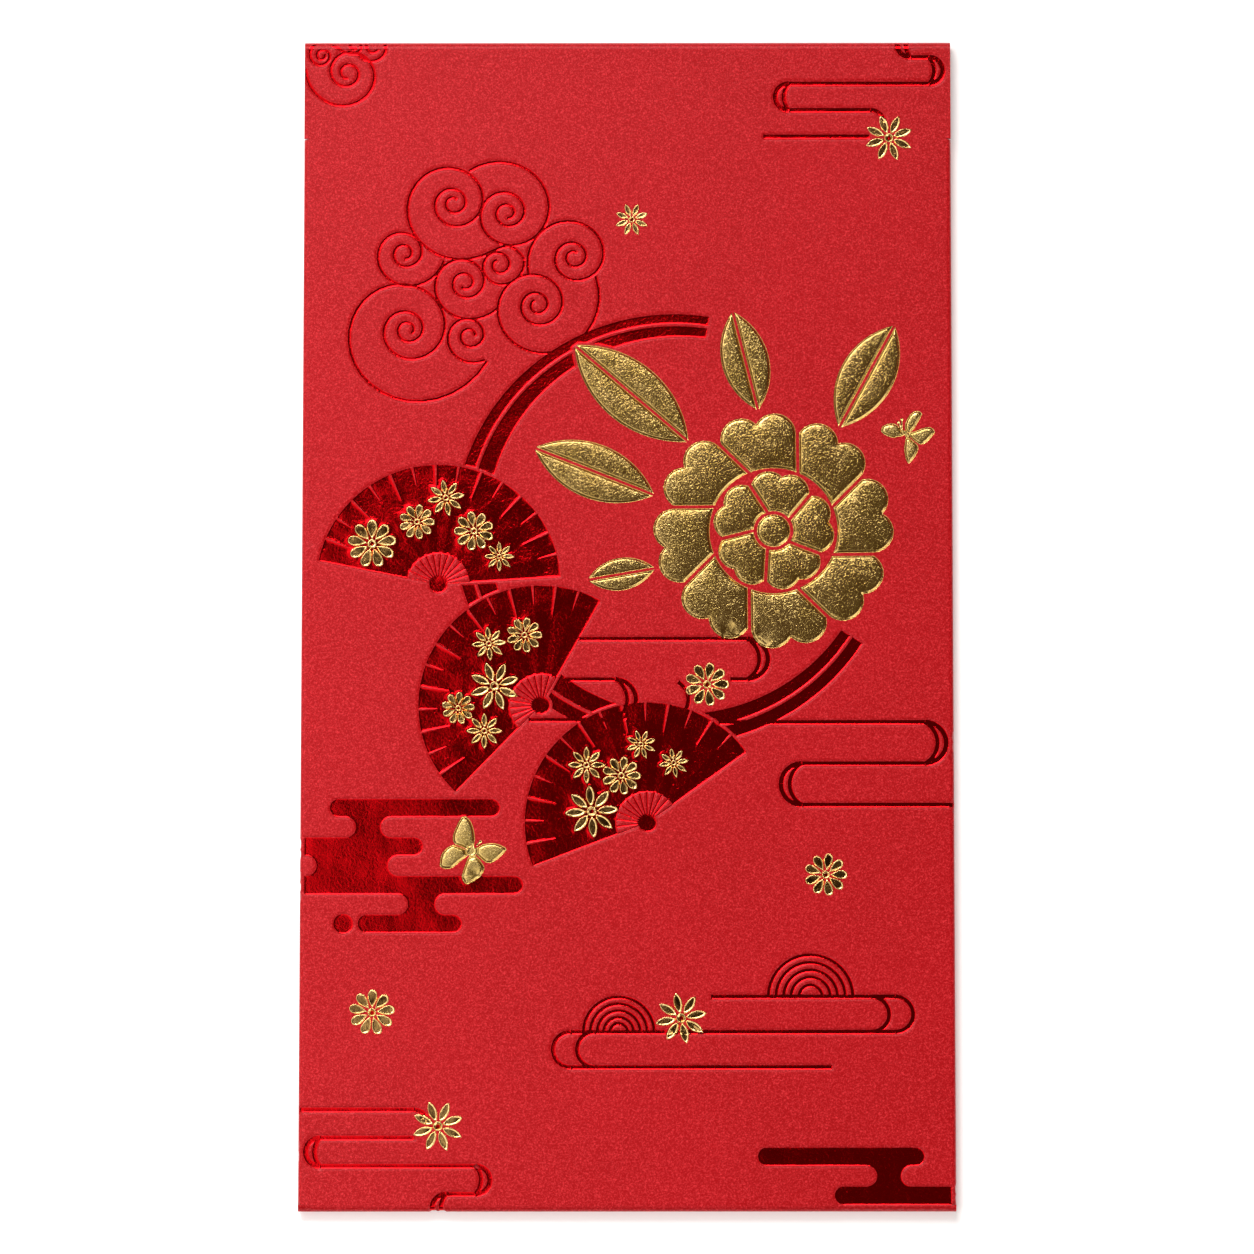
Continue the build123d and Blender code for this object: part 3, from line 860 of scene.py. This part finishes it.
# %% [markdown]
# ## Fold the sheet
# Now the flat drawing is bent. Beyond the flat of the face the sheet runs round the side folds and the foot as round
# a thin rod. A bend modifier turns a whole object, but here each edge has its own radius, so each point is placed by
# itself. Above the mouth of the pocket the sides aren't folded, so there the panel stays flat to its cut edge, and
# the fold at the foot runs straight on to the packet's sides.

# %% Bend the sheet
def bent(points, rise):
    """Places in millimetres for points of the flat sheet, raised by rise."""
    x, y = points.T
    beside = (y > flat_bottom - SLIT / 2) & (y < mouth - SLIT / 2)
    round_side = np.where(beside, np.maximum(abs(x) - flat_half_width, 0), 0) / side_bend
    round_foot = np.maximum(flat_bottom - y, 0) / bottom_bend
    side_radius = side_bend + rise
    foot_radius = bottom_bend + rise
    out = np.stack([x, y, face + rise], axis=1)
    sides = round_side > 0
    turned_x = np.sign(x) * (flat_half_width + side_radius * np.sin(round_side))
    out[sides, 0] = turned_x[sides]
    out[sides, 2] = (face - side_bend + side_radius * np.cos(round_side))[sides]
    foot = round_foot > 0
    out[foot, 1] = (flat_bottom - foot_radius * np.sin(round_foot))[foot]
    out[foot, 2] = (face - bottom_bend + foot_radius * np.cos(round_foot))[foot]
    return out


placed = bent(flat, lift)
print("lowest point of the bent sheet:", round(placed[:, 2].min(), 2), "mm")

# %% [markdown]
# The sheet is split by stamping, so that each motif is a piece of its own and can have its own finish. The pieces
# share their edge points, and all of them are glued to the card, so they ride on the pocket.

# %% Split off the motifs
def new_piece(name, points, polygons, body="pocket"):
    """Smooth mesh from points in millimetres, riding on a body."""
    mesh = bpy.data.meshes.new(name)
    corners = [[int(k) for k in polygon] for polygon in polygons]
    mesh.from_pydata((np.asarray(points) * MM).tolist(), [], corners)
    mesh.update()
    mesh.shade_smooth()
    piece = bpy.data.objects.new(name, mesh)
    bpy.context.scene.collection.objects.link(piece)
    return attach(piece, body) if body else piece


def part_of_sheet(name):
    """Points and triangles of one piece of the bent sheet."""
    own = triangles[names == name]
    used, compact = np.unique(own, return_inverse=True)
    return placed[used], compact.reshape(-1, 3)


names = np.array([area[0] for area in areas])[owner]
pieces = {}
for name in sorted(set(names) - {"face_paper"}):
    pieces[name] = new_piece(name, *part_of_sheet(name))
    print(name, len(pieces[name].data.polygons), "triangles")

# %% [markdown]
# The paper has a second side. With the flap open, the inside of the front panel shows above the mouth, so the paper
# piece also gets an inner side, one sheet thickness below, and a narrow wall along its cut edge. A solidify modifier
# would copy the whole relief to the inside, where a plain sheet is enough.

# %% Close the paper with its inner side
outer_points, outer_faces = part_of_sheet("face_paper")

bend_points = [p for p in free_points if abs(p[0]) > flat_half_width or p[1] < flat_bottom]
inner_ring = list(range(len(border_outline)))
inner, inner_faces, inner_owners = triangulated(border_outline + bend_points, [inner_ring])
inner_points = bent(inner, np.full(len(inner), -paper))
inner_faces = np.array([f[::-1] for f, o in zip(inner_faces, inner_owners) if o])

wall_top = placed[border]
wall_foot = bent(flat[border.ravel()], np.full(border.size, -paper)).reshape(-1, 2, 3)
wall = np.concatenate([wall_top[:, 1], wall_top[:, 0], wall_foot[:, 0], wall_foot[:, 1]])
wall_faces = np.arange(len(wall)).reshape(4, -1).T

first_inner = len(outer_points)
first_wall = first_inner + len(inner_points)
sheet_points = np.concatenate([outer_points, inner_points, wall])
sheet_faces = [*outer_faces, *(inner_faces + first_inner), *(wall_faces + first_wall)]
pieces["face_paper"] = new_piece("face_paper", sheet_points, sheet_faces)
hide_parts("front_panel", "left_side_fold", "right_side_fold", "bottom_fold")
for piece, node in {**FOIL_NODES, **GOLD_NODES, **BLOSSOM_NODES}.items():
    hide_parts(node)
print("face_paper", len(sheet_faces), "faces")

# %% [markdown]
# ## Crease of the flap
# The flap hangs on the sheet itself: the paper simply bends. This piece is that bend, half a tube from the face round
# to the back. A rigid tube would tear off when the flap opens; this one is built in its closed shape and rides on no
# body here.

# %% Bend the crease
CREASE_STEPS = 24
CREASE_COLUMNS = 31
CUT_ANGLE = 40  # degrees: what is sharper than this is a cut edge
crease_low, crease_high = box_mm("top_crease")
outer_radius = (crease_high.z - crease_low.z) / 2


def on_crease(x, radius, turned):
    """Place on the bend, at a radius and an angle from the face."""
    return (x, crease_low.y + radius * sin(turned), outer_radius + radius * cos(turned))


turns = np.linspace(0, pi, CREASE_STEPS + 1)
profile = [(outer_radius, t) for t in turns] + [(outer_radius - paper, t) for t in reversed(turns)]
columns = np.linspace(crease_low.x, crease_high.x, CREASE_COLUMNS)
crease_points = [on_crease(x, radius, t) for x in columns for radius, t in profile]
ring = len(profile)
crease_faces = []
for k in range(CREASE_COLUMNS - 1):
    for j in range(ring):
        a, b = k * ring + j, k * ring + (j + 1) % ring
        crease_faces.append((a, b, b + ring, a + ring))
last = (CREASE_COLUMNS - 1) * ring
for j in range(CREASE_STEPS):
    mirror = ring - 1 - j
    crease_faces.append((j + 1, j, mirror, mirror - 1))
    crease_faces.append((last + j, last + j + 1, last + mirror - 1, last + mirror))
crease = new_piece("flap_crease", crease_points, crease_faces, body=None)
crease.data.set_sharp_from_angle(angle=radians(CUT_ANGLE))
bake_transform(crease)
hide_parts("top_crease")
pieces["flap_crease"] = crease
print("flap_crease", len(crease_faces), "faces")

# %% [markdown]
# The lines that come in over the top edge run on round the crease. What the strips have above that edge is laid round
# the bend as a thin film, in the same bent shape as the paper under it.

# %% Lead the lines over the crease
FILM = 0.015  # how far the film stands above the card
FILM_STEP = 0.15
FILM_NEAR, FILM_FAR = 0.4, 5  # steps from an outline: inner points lie between these


def above(outline, limit):
    """The part of a closed outline that lies above a level."""
    part = []
    for (ax, ay), (bx, by) in zip(outline, outline[1:] + outline[:1]):
        if ay >= limit:
            part.append((ax, ay))
        if (ay - limit) * (by - limit) < 0:
            part.append((ax + (bx - ax) * (limit - ay) / (by - ay), limit))
    return part


film_points = []
film_rings = []
for piece, _, outline in stampings:
    part = above(outline, top_edge) if piece == "cloud_lines" else []
    if len(part) > 2:
        part = divided(part, FILM_STEP)
        film_rings.append(list(range(len(film_points), len(film_points) + len(part))))
        film_points += part
low_x, low_y = np.min(film_points, axis=0)
high_x, high_y = np.max(film_points, axis=0)
film_tree = search_tree(film_points)
for x in np.arange(low_x, high_x, FILM_STEP):
    for y in np.arange(low_y, high_y, FILM_STEP):
        if FILM_NEAR * FILM_STEP < film_tree.find((x, y, 0))[2] < FILM_FAR * FILM_STEP:
            film_points.append((x, y))
film, film_faces, film_owners = triangulated(film_points, film_rings)
film_faces = [f for f, o in zip(film_faces, film_owners) if o]
film_places = [on_crease(x, outer_radius + FILM, (y - top_edge) / outer_radius) for x, y in film]
crease_lines = new_piece("crease_lines", film_places, film_faces, body=None)
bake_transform(crease_lines)
pieces["crease_lines"] = crease_lines
print("crease_lines", len(film_faces), "triangles")

# %% [markdown]
# ## Plain panels
# The back panel, the flap and the tabs are flat card, and their CAD shapes are right as they are. A die-cut edge is
# never perfectly sharp, so each gets a very small bevel. As a modifier it leaves the CAD mesh itself untouched.

# %% Soften the cut edges
PANELS = ["back_panel", "top_flap", "left_glue_tab", "right_glue_tab"]
CUT_EDGE = 0.08
for node in PANELS:
    cut_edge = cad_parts[node].modifiers.new("cut_edge", "BEVEL")
    cut_edge.width = CUT_EDGE * MM
    cut_edge.segments = 2
    cut_edge.limit_method = "ANGLE"
    cut_edge.harden_normals = True
print("panels with softened edges:", len(PANELS))

# %% [markdown]
# ## Finishes
# Every finish is a principled shader, fed by noise that is measured in millimetres of the object itself, so it stays
# in place when the packet moves. A picture of paper would show its pixels close up, but noise is sharp at any
# distance. This small class holds a material while its nodes are added, so that a finish reads like a recipe.

# %% Prepare the finishes
class Finish:
    """Material under work: its methods add nodes, and put feeds the shader."""

    def __init__(self, name):
        self.material = bpy.data.materials.new(name)
        self.material.use_nodes = True
        self.tree = self.material.node_tree
        self.coordinates = self.tree.nodes.new("ShaderNodeTexCoord")

    def feed(self, node, inputs):
        """A value sets an input, and another node's socket is linked to it."""
        for key, value in inputs.items():
            socket = node.inputs[key.replace("_", " ") if isinstance(key, str) else key]
            if isinstance(value, bpy.types.NodeSocket):
                self.tree.links.new(value, socket)
            else:
                socket.default_value = value
        return node

    def add(self, kind, **inputs):
        return self.feed(self.tree.nodes.new(kind), inputs)

    def put(self, **inputs):
        """Sets or links inputs of the principled shader."""
        self.feed(self.tree.nodes["Principled BSDF"], inputs)

    def noise(self, per_mm, detail=2.0, rough=0.5, distortion=0.0):
        """Noise with so many features in a millimetre."""
        return self.add("ShaderNodeTexNoise", Vector=self.coordinates.outputs["Object"], Scale=per_mm / MM,
                        Detail=detail, Roughness=rough, Distortion=distortion).outputs["Fac"]

    def remap(self, value, low, high, to_low=0.0, to_high=1.0):
        """Value moved from one range to another, and kept inside it."""
        return self.add("ShaderNodeMapRange", Value=value, From_Min=low, From_Max=high, To_Min=to_low,
                        To_Max=to_high).outputs["Result"]

    def mix(self, factor, first, second):
        """Colour between two others. The mixer has an A and a B for every type, so they go by number."""
        node = self.add("ShaderNodeMix", Factor=factor)
        node.data_type = "RGBA"
        self.feed(node, {6: first, 7: second})
        return node.outputs[2]

    def bump(self, height, depth, **inputs):
        """Normals of a surface that the noise moves by a depth in millimetres."""
        return self.add("ShaderNodeBump", Distance=depth * MM, Height=height, **inputs).outputs["Normal"]


# %% [markdown]
# ## Pearl paper
# The card is dyed red and coated with pearl pigment: tiny flakes that give a soft reddish gloss and a fine grain of
# paler specks. The grain is noise with features of about a quarter of a millimetre, and the same noise moves the
# surface a little, so that the flakes glitter when the light passes over them. Slow clouds keep the dye from looking
# too even.

# %% Make the paper
DYE, STRONG_DYE = (0.375, 0.002, 0.004, 1), (0.4, 0.002, 0.005, 1)
FLAKE = (0.7, 0.03, 0.038, 1)
PEARL_TINT = (1, 0.5, 0.53, 1)


def pearl_paper():
    card = Finish("pearl_paper")
    grain = card.noise(4.2, detail=3, rough=0.6, distortion=0.8)
    clouds = card.noise(0.05)
    red = card.mix(card.remap(clouds, 0.35, 0.65), DYE, STRONG_DYE)
    card.put(
        Base_Color=card.mix(card.remap(grain, 0.47, 0.67), red, FLAKE),
        Roughness=card.remap(grain, 0.3, 0.7, 0.36, 0.28),
        Specular_IOR_Level=0.28,
        Specular_Tint=PEARL_TINT,
        Normal=card.bump(grain, 0.036, Strength=0.8),
    )
    return card.material


# %% [markdown]
# ## Foils
# Hot-stamped foil is a film of metal a few thousandths of a millimetre thick. It copies every fibre of the card
# below, so it is a mirror with a fine crinkle. The red foil also follows the slow waves of the card. The gold is
# stretched over the raised shapes and crinkles more.

# %% Make the foils and the glue
FOIL_RED = (0.56, 0.003, 0.006, 1)
GLUE_DARK, GLUE_LIGHT = (0.72, 0.66, 0.52, 1), (0.8, 0.76, 0.64, 1)


def red_foil():
    foil = Finish("red_foil")
    crinkle = foil.noise(2.6, detail=4, rough=0.6, distortion=0.8)
    waves = foil.bump(foil.noise(0.1), 0.32, Strength=1.0)
    foil.put(
        Base_Color=FOIL_RED,
        Metallic=1.0,
        Roughness=foil.remap(crinkle, 0.35, 0.65, 0.08, 0.16),
        Normal=foil.bump(crinkle, 0.026, Strength=1.0, Normal=waves),
    )
    return foil.material


def gold_foil(name, dark, light, depth, gloss, per_mm=3.2):
    """Gold between two tones, with crinkles of a depth in millimetres."""
    foil = Finish(name)
    crinkle = foil.noise(per_mm, detail=1.5, rough=0.6, distortion=1.8)
    folds = foil.bump(foil.noise(0.2), 0.035, Strength=1.0)
    tone = foil.noise(0.5)
    foil.put(
        Base_Color=foil.mix(foil.remap(tone, 0.35, 0.65), dark, light),
        Metallic=1.0,
        Roughness=foil.remap(crinkle, 0.3, 0.7, *gloss),
        Normal=foil.bump(crinkle, depth, Strength=1.0, Normal=folds),
    )
    return foil.material


def dry_glue():
    glue = Finish("dry_glue")
    streaks = glue.noise(0.5, detail=3)
    glue.put(
        Base_Color=glue.mix(streaks, GLUE_DARK, GLUE_LIGHT),
        Roughness=glue.remap(streaks, 0.3, 0.7, 0.3, 0.5),
    )
    return glue.material


# %% [markdown]
# The gold comes from one roll, but it looks different on each shape, so there are four finishes. The flower is bright
# and crinkled. The rims of the blossoms are stretched smooth, and their lighter, warmer base colour is a painted
# highlight. Their hollows are deep, and their much darker base colour is painted shade. The butterflies have a fine
# satin grain.

# %% Make the four golds
bright_gold = gold_foil("bright_gold", (0.51, 0.335, 0.1, 1), (0.59, 0.4, 0.14, 1), 0.026, (0.13, 0.2))
# Blossom rims: the same gold with a lighter, warmer base colour, a painted highlight.
painted_highlight_gold = gold_foil("painted_highlight_gold", (0.87, 0.57, 0.21, 1), (0.93, 0.65, 0.28, 1), 0.012, (0.12, 0.18))
# Blossom hollows: the same gold with a much darker base colour, painted shade over the real relief.
painted_shade_gold = gold_foil("painted_shade_gold", (0.1, 0.045, 0.012, 1), (0.5, 0.3, 0.1, 1), 0.02, (0.12, 0.18))
satin_gold = gold_foil("satin_gold", (0.57, 0.39, 0.12, 1), (0.68, 0.48, 0.17, 1), 0.017, (0.18, 0.28), 5.2)
print("golds:", [gold.name for gold in (bright_gold, painted_highlight_gold, painted_shade_gold, satin_gold)])

# %% [markdown]
# Each piece gets the finish of its slot, the kind of material that the CAD record gives it. The special golds then
# take the place of the bright one, and the CAD panels and glue strips are dressed as they are.

# %% Dress every piece
GLUE = ["left_glue_strip", "right_glue_strip"]
finishes = {
    "red_paper": pearl_paper(),
    "red_foil": red_foil(),
    "gold_foil": bright_gold,
    "glue": dry_glue(),
}
slots = dict.fromkeys(["face_paper", "flap_crease"], "red_paper")
slots.update(dict.fromkeys(["cloud_lines", "crease_lines", "blossom_hearts", *FOIL_NODES], "red_foil"))
slots.update(dict.fromkeys([*GOLD_NODES, *BLOSSOM_NODES, "blossom_hollows"], "gold_foil"))
# The hollows take the gold with painted shade, and the blossom rims the gold with a painted highlight.
special_golds = {"blossom_hollows": painted_shade_gold, "butterflies": satin_gold, **dict.fromkeys(BLOSSOM_NODES, painted_highlight_gold)}
for name, piece in pieces.items():
    piece.data.materials.append(special_golds.get(name, finishes[slots[name]]))
for node in PANELS + GLUE:
    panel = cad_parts[node].data
    panel.materials.clear()
    panel.materials.append(finishes["glue" if node in GLUE else "red_paper"])
print("dressed pieces:", len(pieces), "and CAD nodes:", len(PANELS + GLUE))

# %% [markdown]
# ## Studio
# The packet lies on a white table. Foil shows what it mirrors, so two soft panels hang low over the packet, a large
# one at the left and a small one at the top. They make the foil bright at the upper left and dark at the lower right.
# A key light beyond the top edge throws the short shadow, and a low fill stands at the right. The room is dim and
# warm, and that is why the flat foil looks so deep.

# %% Light the table
def area_light(name, place, width, depth, power, aim, turn=0):
    """Soft light that looks at a point, turned about its axis, and isn't seen by the camera."""
    light = bpy.data.lights.new(name, "AREA")
    light.shape = "RECTANGLE"
    light.size = width
    light.size_y = depth
    light.energy = power
    lamp = bpy.data.objects.new(name, light)
    lamp.location = place
    facing = (Vector(aim) - Vector(place)).to_track_quat("-Z", "Y").to_matrix()
    lamp.rotation_euler = (facing @ Matrix.Rotation(radians(turn), 3, "Z")).to_euler()
    lamp.visible_camera = False
    bpy.context.scene.collection.objects.link(lamp)


PACKET = (0, 0, 0)
ROOM = (0.1, 0.068, 0.036, 1)
area_light("left_panel", (-0.303, -0.027, 0.3), 0.5, 0.9, 1.95, (-0.303, -0.027, 0), turn=18)
area_light("top_panel", (-0.17, 0.24, 0.3), 0.34, 0.22, 0.3, (-0.17, 0.24, 0))
area_light("key_light", (-0.4, 1.3, 1.5), 1.0, 1.0, 29, PACKET)
area_light("fill_light", (0.75, -0.6, 0.36), 0.9, 0.5, 3.2, PACKET)

world = bpy.data.worlds.new("dim_room")
world.use_nodes = True
background = world.node_tree.nodes["Background"]
background.inputs["Color"].default_value = ROOM
background.inputs["Strength"].default_value = 1.0
bpy.context.scene.world = world
print("lights:", [lamp.name for lamp in bpy.data.lights])

# %% [markdown]
# The table is one large square. It lies a hair below the card, because two surfaces at the same height would show
# as stripes. A little glow of its own keeps it white and its shadows pale.

# %% Set the table
TABLE_HALF = 1.5
TABLE_LEVEL = -0.02 * MM
WHITE, BRIGHT_WHITE = (0.92, 0.92, 0.92, 1), (0.94, 0.94, 0.94, 1)
table_mesh = bpy.data.meshes.new("table")
table_corners = [(x * TABLE_HALF, y * TABLE_HALF, TABLE_LEVEL) for x, y in ((-1, -1), (1, -1), (1, 1), (-1, 1))]
table_mesh.from_pydata(table_corners, [], [(0, 1, 2, 3)])
table = bpy.data.objects.new("table", table_mesh)
bpy.context.scene.collection.objects.link(table)
white = Finish("white_table")
white.put(
    Base_Color=white.mix(white.noise(0.02), WHITE, BRIGHT_WHITE),
    Roughness=0.8,
    Emission_Color=(1, 1, 1, 1),
    Emission_Strength=0.28,
)
table_mesh.materials.append(white.material)
print("table:", 2 * TABLE_HALF, "m wide")

# %% [markdown]
# ## Camera
# The photo is taken from far away with a long lens, almost straight from above: the lower edge is only two percent
# wider than the upper one. Distance, height and a very small roll follow from the four corners of the packet.

# %% Place the camera
TARGET = Vector((-0.047, -0.822, 1.3)) * MM
DISTANCE = 1.638
ELEVATION = radians(78.085)
AZIMUTH = radians(-1.116)
ROLL = radians(-1.12)
SENSOR = 36.0
LENS = 340.47
toward = Vector((-sin(AZIMUTH) * cos(ELEVATION), -cos(AZIMUTH) * cos(ELEVATION), sin(ELEVATION)))
right = (-toward).cross(Vector((0, 0, 1))).normalized()
up = toward.cross(right)
axes = Matrix((right, up, toward)).transposed() @ Matrix.Rotation(ROLL, 3, "Z")
camera_data = bpy.data.cameras.new("camera")
camera_data.sensor_width = SENSOR
camera_data.lens = LENS
camera = bpy.data.objects.new("camera", camera_data)
camera.matrix_world = Matrix.Translation(TARGET + DISTANCE * toward) @ axes.to_4x4()
bpy.context.scene.collection.objects.link(camera)
bpy.context.scene.camera = camera
bpy.context.scene.view_settings.view_transform = "Standard"
print("camera", DISTANCE, "m from the packet")
